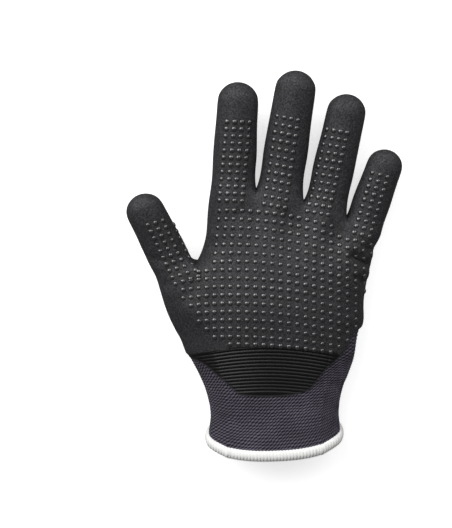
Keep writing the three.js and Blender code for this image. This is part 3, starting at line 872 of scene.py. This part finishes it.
class GLOVE_OT_cuff_knit(bpy.types.Operator):
    """Adds the coarse knit tube of the wrist and the heel of the hand"""
    bl_idname = "glove.cuff_knit"
    bl_label = "Cuff knit"

    def execute(self, context):
        settings = context.scene.glove_knit
        steps, levels, middle_column = 5, 98, 8.0
        columns = even_columns(1, CUFF_WALE, steps)
        across = np.arange(len(columns)) / steps
        rows = np.linspace(0, SEAM_SECTION, levels)
        middle = trunk_point(np.full(levels, middle_column), rows)[0]
        along = np.concatenate([[0], np.cumsum(np.linalg.norm(np.diff(middle, axis=0), axis=1))])
        courses = along / CUFF_COURSE
        count = len(columns)
        places, normals = trunk_point(np.tile(columns, len(rows)), np.repeat(rows, count))
        wale, course = np.tile(across, len(rows)), np.repeat(courses, count)
        relief = settings.cuff_relief / MM
        rise = (np.cos(2 * np.pi * course) + np.cos(2 * np.pi * (wale - CUFF_LEAN * course))) / 4
        outer = places + normals * (LINER_WALL + relief * rise)[:, None]
        outer[:, 2] = np.maximum(outer[:, 2], 0)
        uvs = []
        for low, high in zip(courses, courses[1:]):
            uvs += [[(x, low), (x + 1 / steps, low), (x + 1 / steps, high), (x, high)] for x in across]
        skin, faces, loops = shell(outer, places, grid_faces(len(rows), count, True), uvs)
        material = cuff_material(settings.cuff_colour)
        piece_from("cuff_tube", skin, faces, material, "knit_cuff", loops)
        return {"FINISHED"}


# ---------------------------------------------------------------- coating

class GloveCoatingSettings(bpy.types.PropertyGroup):
    foam_colour: FloatVectorProperty(name="Foam", description="Colour of the foamed nitrile palm",
                                     subtype="COLOR", size=4, default=hex_colour("#29292B"))
    rib_colour: FloatVectorProperty(name="Ribs", description="Colour of the ribbed wrist panel",
                                    subtype="COLOR", size=4, default=hex_colour("#060607"))
    rib_height: FloatProperty(name="Rib height", description="Height of a wrist rib over its groove",
                              default=0.7 * MM, min=0, unit="LENGTH")
    dot_colour: FloatVectorProperty(name="Dots", description="Colour of the grip dots",
                                    subtype="COLOR", size=4, default=hex_colour("#060607"))
    dot_width: FloatProperty(name="Dot width", description="Diameter of a grip dot",
                             default=3.2 * MM, min=0.5 * MM, unit="LENGTH")
    dot_height: FloatProperty(name="Dot height", description="Height of a grip dot",
                              default=0.85 * MM, min=0.1 * MM, unit="LENGTH")
    dot_sides: IntProperty(name="Dot sides", description="Corners round a grip dot",
                           default=10, min=8, max=12)


THIN_EDGE_SHADE = 2.3


def with_thin_edge(tree, base, colour):
    """The coating's colour, but the yarn's grey shows through its last thin millimetre."""
    edge = add(tree, "ShaderNodeAttribute", attribute_name="edge_depth")
    thin = add(tree, "ShaderNodeMapRange", {"Value": edge.outputs["Fac"], "From Min": 1.3, "From Max": 0.1})
    return add(tree, "ShaderNodeMix", {0: thin, 6: base, 7: tuple(colour)}, data_type="RGBA").outputs[2]


def foam_material(colour):
    """Foamed nitrile rubber, dipped: matt, with open cells that give it a fine mottled grain."""
    material, tree, shader = new_material("foamed_nitrile")
    place = add(tree, "ShaderNodeTexCoord").outputs["Object"]
    # Cells of about 0.3 mm, drawn as grains of 1 mm so that they show
    cells = add(tree, "ShaderNodeTexVoronoi", {"Vector": place, "Scale": 1100}, feature="SMOOTH_F1")
    grain = add(tree, "ShaderNodeTexNoise", {"Vector": place, "Scale": 1000, "Detail": 4,
                                             "Roughness": 0.7})
    patch = add(tree, "ShaderNodeTexNoise", {"Vector": place, "Scale": 260, "Detail": 4, "Roughness": 0.6})
    rough = add(tree, "ShaderNodeMix", {0: 0.5, 2: cells, 3: grain})
    blotch = add(tree, "ShaderNodeMapRange", {"Value": patch, "From Min": 0.25, "From Max": 0.75})
    speck = add(tree, "ShaderNodeMapRange", {"Value": rough, "From Min": 0.34, "From Max": 0.62})
    mixed = add(tree, "ShaderNodeMix", {0: 0.72, 2: blotch, 3: speck})
    base = add(tree, "ShaderNodeMix", {0: mixed, 6: shade_of(colour, 0.22), 7: shade_of(colour, 2.1)},
               data_type="RGBA")
    matt = add(tree, "ShaderNodeMapRange", {"Value": mixed, "To Min": 0.75, "To Max": 0.6})
    tree.links.new(matt.outputs[0], shader.inputs["Roughness"])
    finish_surface(tree, shader, with_thin_edge(tree, base.outputs[2], shade_of(colour, THIN_EDGE_SHADE)),
                   mixed, 0.55, 0.22, {"IOR": 1.5, "Specular IOR Level": 0.3})
    return material


def gloss_material(name, colour, roughness, grain, gloss_level, edge_colour=None):
    """Dipped solid nitrile: smooth skin with a soft gloss, slightly uneven."""
    material, tree, shader = new_material(name)
    place = add(tree, "ShaderNodeTexCoord").outputs["Object"]
    # Flow marks of about 1 mm over a fine skin of 0.3 mm
    flow = add(tree, "ShaderNodeTexNoise", {"Vector": place, "Scale": 900, "Detail": 3})
    skin = add(tree, "ShaderNodeTexNoise", {"Vector": place, "Scale": 3200, "Detail": 2})
    mixed = add(tree, "ShaderNodeMix", {0: 0.45, 2: flow, 3: skin})
    base = add(tree, "ShaderNodeMix", {0: mixed, 6: shade_of(colour, 0.7), 7: shade_of(colour, 1.5)},
               data_type="RGBA")
    final = with_thin_edge(tree, base.outputs[2], edge_colour) if edge_colour else base.outputs[2]
    gloss = add(tree, "ShaderNodeMapRange", {"Value": mixed, "To Min": roughness - 0.08,
                                             "To Max": roughness + 0.1})
    tree.links.new(gloss.outputs[0], shader.inputs["Roughness"])
    finish_surface(tree, shader, final, mixed, 0.4, grain,
                   {"IOR": 1.65, "Specular IOR Level": gloss_level})
    return material


@functools.lru_cache(maxsize=1)
def coating_skin():
    """The coated part of the form above the ribs: its outer and inner places, depth, faces, stitches."""
    form = smooth_form()
    places, normals = form["places"], form["normals"]
    depth = coated(places, places[:, 2] + normals[:, 2] * COATING_OUTER)
    # The ribs take over below their top arc, on the palm's side only
    palm_side = normals[:, 2] > -0.3
    above_ribs = np.where(palm_side, arc_level(places) - RIB_TOP + RIB_LAP, np.inf)
    arrays, faces, uvs = clipped([places, normals, depth], form["quads"], form["uvs"],
                                 np.minimum(depth, above_ribs))
    places, normals, depth = arrays
    outer = places + normals * rounded_edge(depth)[:, None]
    return outer, places + normals * COATING_INNER, depth, faces, uvs


class GLOVE_OT_foam_coating(bpy.types.Operator):
    """Adds the foam coating of the palm and the digits"""
    bl_idname = "glove.foam_coating"
    bl_label = "Foam coating"

    def execute(self, context):
        outer, inner, depth, faces, uvs = coating_skin()
        skin, faces, loops = shell(outer, inner, faces, uvs)
        material = foam_material(context.scene.glove_coating.foam_colour)
        piece_from("palm_dip", skin, faces, material, "palm_coating", loops,
                   {"edge_depth": np.tile(depth, 2)})
        return {"FINISHED"}


class GLOVE_OT_wrist_ribs(bpy.types.Operator):
    """Adds the panel of raised ribs under the palm"""
    bl_idname = "glove.wrist_ribs"
    bl_label = "Wrist ribs"

    def execute(self, context):
        settings = context.scene.glove_coating
        steps, plain_turns = 8, 4
        turns = np.arange((RIB_COUNT + plain_turns) * steps + 1)[::-1] / steps
        columns = np.arange(-1.5, TRUNK_COLUMNS + 1.51, 1 / 6)
        count = len(columns)
        rows = arc_rows(columns, RIB_TOP - turns * RIB_PITCH)
        places, normals = trunk_point(np.tile(columns, len(turns)), rows.ravel())
        depth = coated(places, places[:, 2] + normals[:, 2] * COATING_OUTER)
        phase = np.repeat(turns, count)
        height = settings.rib_height / MM
        round_rib = np.where(phase < RIB_COUNT, np.abs(np.sin(np.pi * phase)) ** RIB_ROUND, RIB_PLAIN)
        full = COATING_OUTER - height + height * round_rib
        share = (rounded_edge(depth) - COATING_EDGE) / (COATING_OUTER - COATING_EDGE)
        rise = COATING_EDGE + (full - COATING_EDGE) * share
        faces = np.array(grid_faces(len(turns), count, False))
        flat = np.stack([np.tile(columns * WALES_FACE, len(turns)), phase], axis=1)
        arrays, faces, uvs = clipped([places, normals, rise, depth], faces, flat[faces], depth)
        places, normals, rise, depth = arrays
        skin, faces, loops = shell(places + normals * rise[:, None], places + normals * COATING_INNER,
                                   faces, uvs)
        material = gloss_material("ribbed_nitrile", settings.rib_colour, 0.45, 0.1, 0.2,
                                  shade_of(settings.foam_colour, THIN_EDGE_SHADE))
        piece_from("rib_panel", skin, faces, material, "wrist_ribs", loops,
                   {"edge_depth": np.tile(depth, 2)})
        return {"FINISHED"}


# ---------------------------------------------------------------- grip dots

def dot_template(settings):
    """One low dome, modelled from a circle (mm)."""
    width, height = settings.dot_width, settings.dot_height
    bpy.ops.object.select_all(action="DESELECT")
    bpy.ops.mesh.primitive_circle_add(vertices=settings.dot_sides, radius=width / 2, fill_type="NGON",
                                      location=(0, 0, 0))
    dot = bpy.context.object
    bpy.ops.object.mode_set(mode="EDIT")
    bpy.ops.mesh.select_all(action="SELECT")
    last_width, last_level = 1.0, DOT_FOOT
    bpy.ops.transform.translate(value=(0, 0, last_level * height))
    for share, level in DOT_PROFILE:
        bpy.ops.mesh.extrude_region_move(
            TRANSFORM_OT_translate={"value": (0, 0, (level - last_level) * height)})
        bpy.ops.transform.resize(value=(share / last_width, share / last_width, 1))
        last_width, last_level = share, level
    bpy.ops.object.mode_set(mode="OBJECT")
    places = np.array([v.co[:] for v in dot.data.vertices]) / MM
    faces = [list(p.vertices) for p in dot.data.polygons]
    bpy.data.objects.remove(dot)
    return places, faces


def dot_marks():
    """Where the camera sees the grip dots, in mm from the middle of its view."""
    marks = []
    for a, b, across_a, across_b, down_a, down_b, count, rows in DIGIT_DOTS:
        marks += [(a + across_a * i + down_a * j, b + across_b * i + down_b * j)
                  for j in range(rows) for i in range(count)]
    start_a, start_b = PALM_DOTS_START
    pitch_a, pitch_b = PALM_DOTS_PITCH
    for j, (first, last) in enumerate(PALM_ROWS):
        share = j / (len(PALM_ROWS) - 1)
        sag = PALM_DOTS_SAG[0] + (PALM_DOTS_SAG[1] - PALM_DOTS_SAG[0]) * share
        lean = PALM_DOTS_LEAN * max(0, 1 - j / PALM_LEAN_ROWS)
        rise = PALM_LAST_ROW_RISE if share == 1 else 0
        for i in range(first, last + 1):
            step = pitch_a * (THUMB_SIDE_PITCH if i < 0 else 1)
            across = step * i + lean * (1 - i / PALM_LEAN_COLUMNS)
            fall = (sag if i > 0 else PALM_DOTS_LEFT_SAG) * across ** 2
            marks.append((start_a + across, start_b - pitch_b * j - fall + rise))
    return marks


def view_axes():
    """The camera's place, and its right and up directions (mm)."""
    tilt = math.radians(VIEW_TILT)
    away = Vector((0, math.sin(tilt), math.cos(tilt)))
    up = Vector((0, math.cos(tilt), -math.sin(tilt)))
    return Vector(VIEW_TARGET) + away * VIEW_DISTANCE, Vector((1, 0, 0)), up, away


class GLOVE_OT_grip_dots(bpy.types.Operator):
    """Sets the raised grip dots on the coating of the palm and the digits"""
    bl_idname = "glove.grip_dots"
    bl_label = "Grip dots"

    def execute(self, context):
        settings = context.scene.glove_coating
        outer, _, depth, faces, _ = coating_skin()
        skin = BVHTree.FromPolygons([Vector(p) for p in outer], faces)
        origin = Vector(smooth_form()["origin"])
        eye, right, up, _ = view_axes()
        shape, shape_faces = dot_template(settings)
        places, dots = [], []
        for index, (a, b) in enumerate(dot_marks()):
            aim = Vector(VIEW_TARGET) + right * a + up * b - eye
            hit, _, face, _ = skin.ray_cast(eye - origin, aim.normalized())
            if hit is None or depth[faces[face][0]] < DOT_MARGIN:
                continue
            normal = smooth_normal(skin, hit)
            turn = normal.to_track_quat("Z", "Y").to_matrix() @ Matrix.Rotation(index * 2.4, 3, "Z")
            size = 1 + 0.08 * math.sin(index * 12.9)
            start = len(shape) * len(places)
            places.append((shape * size) @ np.array(turn).T + np.array(hit))
            dots += [[v + start for v in ring] for ring in shape_faces]
        if not places:
            raise RuntimeError("grip_dots: no dot met the coating")
        material = gloss_material("moulded_nitrile_dots", settings.dot_colour, 0.36, 0.05, 1.0)
        piece_from("grip_dots", np.vstack(places), dots, material)
        return {"FINISHED"}


def smooth_normal(skin, spot):
    """The direction out of the coating around a spot, over the faces near it."""
    total = Vector()
    for _, normal, _, _ in skin.find_nearest_range(spot, 1.6):
        total += normal
    return total.normalized()


# ---------------------------------------------------------------- hem

class GloveHemSettings(bpy.types.PropertyGroup):
    colour: FloatVectorProperty(name="Thread", description="Colour of the overlock thread",
                                subtype="COLOR", size=4, default=hex_colour("#DEDEDC"))
    stitch: FloatProperty(name="Stitch pitch", description="Distance between overlock stitches",
                          default=2.1 * MM, min=0.5 * MM, unit="LENGTH")
    relief: FloatProperty(name="Thread relief", description="Height of a thread over its neighbour's gap",
                          default=0.45 * MM, min=0, unit="LENGTH")


def thread_material(colour):
    """Bulked polyester overlock thread: soft white, with painted grey shade in the gaps between the turns.
    """
    material, tree, shader = new_material("overlock_thread")
    stitch = add(tree, "ShaderNodeUVMap", uv_map="stitches")
    parts = add(tree, "ShaderNodeSeparateXYZ", {0: stitch})
    side = from_middle(tree, parts.outputs[0])
    gap = add(tree, "ShaderNodeMapRange", {"Value": side, "From Min": 0.3, "From Max": 0.5},
              interpolation_type="SMOOTHSTEP")
    # The turns pull tight on the outer edge, where the gaps open; grey is painted into them as their shade
    edge = add(tree, "ShaderNodeMath", {0: parts.outputs[1], 1: 0.84}, operation="SUBTRACT")
    near = add(tree, "ShaderNodeMath", {0: edge}, operation="ABSOLUTE")
    tight = add(tree, "ShaderNodeMapRange", {"Value": near, "From Min": 0.16, "From Max": 0.07,
                                             "To Min": 0.15, "To Max": 1.6})
    # Fine filaments of 0.15 mm along each thread
    place = add(tree, "ShaderNodeTexCoord").outputs["Object"]
    fibre = add(tree, "ShaderNodeTexNoise", {"Vector": place, "Scale": 5200, "Detail": 2})
    soft = add(tree, "ShaderNodeMath", {0: fibre, 1: tight}, operation="MULTIPLY")
    painted_gap_shade = add(tree, "ShaderNodeMath", {0: gap, 1: soft}, operation="MULTIPLY", use_clamp=True)
    # Painted grey shade in the gaps between the turns
    base = add(tree, "ShaderNodeMix", {0: painted_gap_shade, 6: tuple(colour), 7: hex_colour("#57555A")},
               data_type="RGBA")
    finish_surface(tree, shader, base.outputs[2], fibre, 0.5, 0.2,
                   {"Roughness": 0.8, "Sheen Weight": 0.2, "Subsurface Weight": 0.08,
                    "Subsurface Radius": (MM, MM, MM)})
    return material


class GLOVE_OT_cuff_hem(bpy.types.Operator):
    """Adds the overlocked roll round the cuff's mouth"""
    bl_idname = "glove.cuff_hem"
    bl_label = "Cuff hem"

    def execute(self, context):
        settings = context.scene.glove_hem
        per_stitch, around, relief = 6, 22, settings.relief / MM
        columns = even_columns(0, settings.stitch / MM, per_stitch)
        count = len(columns)
        places, normals = trunk_point(columns, np.zeros(count))
        middle = places + normals * (LINER_WALL / 2)
        points, uvs = [], []
        for j in range(around):
            angle = 2 * math.pi * j / around
            phase = np.arange(count) / per_stitch + HEM_SLANT * math.sin(angle / 2) ** 2
            thread = np.abs(np.sin(np.pi * phase)) ** HEM_ROUND
            out = (HEM_THICKNESS / 2 - relief / 2 + relief * thread) * math.cos(angle)
            along = (HEM_HEIGHT / 2 - relief / 2 + relief * thread) * math.sin(angle)
            points.append(middle + normals * out[:, None] + np.array((0, 1, 0)) * along[:, None])
            uvs.append(phase)
        faces, loops = [], []
        for j in range(around):
            k = (j + 1) % around
            for i in range(count):
                n = (i + 1) % count
                faces.append([j * count + i, j * count + n, k * count + n, k * count + i])
                step = 1 / per_stitch
                loops += [(uvs[j][i], j / around), (uvs[j][i] + step, j / around),
                          (uvs[k][i] + step, (j + 1) / around), (uvs[k][i], (j + 1) / around)]
        skin = np.vstack(points)
        skin[:, 2] = np.maximum(skin[:, 2], 0)
        piece_from("hem_roll", skin, faces, thread_material(settings.colour), "cuff_hem", loops)
        return {"FINISHED"}


# ---------------------------------------------------------------- stage

class GloveStageSettings(bpy.types.PropertyGroup):
    floor_colour: FloatVectorProperty(name="Floor", description="Colour of the floor", subtype="COLOR",
                                      size=4, default=hex_colour("#E4E4E4"))
    table_glow: FloatProperty(name="Table glow", description="Light that the floor gives off",
                              default=0.6, min=0)
    key_power: FloatProperty(name="Key light", description="Power of the low soft light above the fingers",
                             default=30, min=0, unit="POWER")
    top_power: FloatProperty(name="Top light", description="Power of the soft light over the palm",
                             default=5, min=0, unit="POWER")
    sky: FloatProperty(name="Sky", description="Strength of the even light all round", default=0.16, min=0)


def area_light(name, place, size, power):
    """A square soft light that points at the glove."""
    bpy.ops.object.light_add(type="AREA", location=place)
    light = bpy.context.object
    light.name = name
    light.data.size = size
    light.data.energy = power
    light.rotation_euler = (Vector((0, 0, 0.02)) - Vector(place)).to_track_quat("-Z", "Y").to_euler()
    return light


class GLOVE_OT_stage(bpy.types.Operator):
    """Adds the floor, the soft lights and the camera at the photo's angle"""
    bl_idname = "glove.stage"
    bl_label = "Stage"

    def execute(self, context):
        settings = context.scene.glove_stage
        bpy.ops.object.select_all(action="DESELECT")
        bpy.ops.mesh.primitive_plane_add(size=6, location=(0, 0, -0.0002))
        floor = bpy.context.object
        floor.name = "floor"
        bpy.ops.object.transform_apply(location=True, rotation=True, scale=True)
        material, tree, shader = new_material("opal_acrylic_table")
        place = add(tree, "ShaderNodeTexCoord").outputs["Object"]
        fibre = add(tree, "ShaderNodeTexNoise", {"Vector": place, "Scale": 900, "Detail": 2})
        tone = add(tree, "ShaderNodeMix", {0: fibre, 6: shade_of(settings.floor_colour, 0.985),
                                           7: tuple(settings.floor_colour)}, data_type="RGBA")
        tree.links.new(tone.outputs[2], shader.inputs["Base Color"])
        shader.inputs["Roughness"].default_value = 0.95
        # A lit table: its glow keeps the shadows pale
        shader.inputs["Emission Color"].default_value = (1, 1, 1, 1)
        shader.inputs["Emission Strength"].default_value = settings.table_glow
        floor.data.materials.append(material)
        # The floor doesn't light the glove, so the sides of the fingers stay dark
        floor.visible_diffuse = floor.visible_glossy = False

        area_light("key", (-0.85, 0.95, 0.85), 1.3, settings.key_power)
        area_light("second", (0.75, 1.05, 0.8), 1.1, settings.key_power * 0.4)
        # The top light stays out of the gloss, as behind a diffuser, so the dots' middles are dark
        area_light("top", (-0.1, 0.3, 1.5), 1.2, settings.top_power).visible_glossy = False
        context.scene.view_settings.view_transform = "Standard"
        world = bpy.data.worlds.new("soft_studio")
        world.use_nodes = True
        world.node_tree.nodes["Background"].inputs["Color"].default_value = (1, 1, 1, 1)
        world.node_tree.nodes["Background"].inputs["Strength"].default_value = settings.sky
        context.scene.world = world

        eye, right, up, away = view_axes()
        bpy.ops.object.camera_add(location=eye * MM)
        camera = bpy.context.object
        camera.name = "camera"
        camera.rotation_euler = Matrix((right, up, away)).transposed().to_euler()
        camera.data.sensor_fit = "HORIZONTAL"
        camera.data.sensor_width = 36
        camera.data.lens = VIEW_LENS
        camera.data.clip_start = 0.01
        context.scene.camera = camera
        return {"FINISHED"}


# ---------------------------------------------------------------- panel and registration

class GLOVE_PT_panel(bpy.types.Panel):
    """The glove's pieces and their settings"""
    bl_idname = "GLOVE_PT_panel"
    bl_label = "Grip Glove"
    bl_space_type = "VIEW_3D"
    bl_region_type = "UI"
    bl_category = "Glove"

    def draw(self, context):
        layout, scene = self.layout, context.scene
        for title, settings, operators in GROUPS:
            box = layout.box()
            box.label(text=title)
            group = getattr(scene, settings)
            for key in group.__annotations__:
                box.prop(group, key)
            for operator in operators:
                box.operator(operator.bl_idname)


GROUPS = (
    ("Knit", "glove_knit", (GLOVE_OT_hand_knit, GLOVE_OT_cuff_knit)),
    ("Coating", "glove_coating", (GLOVE_OT_foam_coating, GLOVE_OT_wrist_ribs, GLOVE_OT_grip_dots)),
    ("Hem", "glove_hem", (GLOVE_OT_cuff_hem,)),
    ("Stage", "glove_stage", (GLOVE_OT_stage,)),
)
SETTINGS = {
    "glove_knit": GloveKnitSettings,
    "glove_coating": GloveCoatingSettings,
    "glove_hem": GloveHemSettings,
    "glove_stage": GloveStageSettings,
}
CLASSES = (*SETTINGS.values(), *(operator for _, _, group in GROUPS for operator in group), GLOVE_PT_panel)


def register():
    for cls in CLASSES:
        bpy.utils.register_class(cls)
    for name, settings in SETTINGS.items():
        setattr(bpy.types.Scene, name, PointerProperty(type=settings))


def unregister():
    for name in SETTINGS:
        delattr(bpy.types.Scene, name)
    for cls in reversed(CLASSES):
        bpy.utils.unregister_class(cls)


def main():
    register()
    bpy.ops.glove.stage()
    bpy.ops.glove.hand_knit()
    bpy.ops.glove.cuff_knit()
    bpy.ops.glove.foam_coating()
    bpy.ops.glove.wrist_ribs()
    bpy.ops.glove.grip_dots()
    bpy.ops.glove.cuff_hem()


if __name__ == "__main__":
    main()
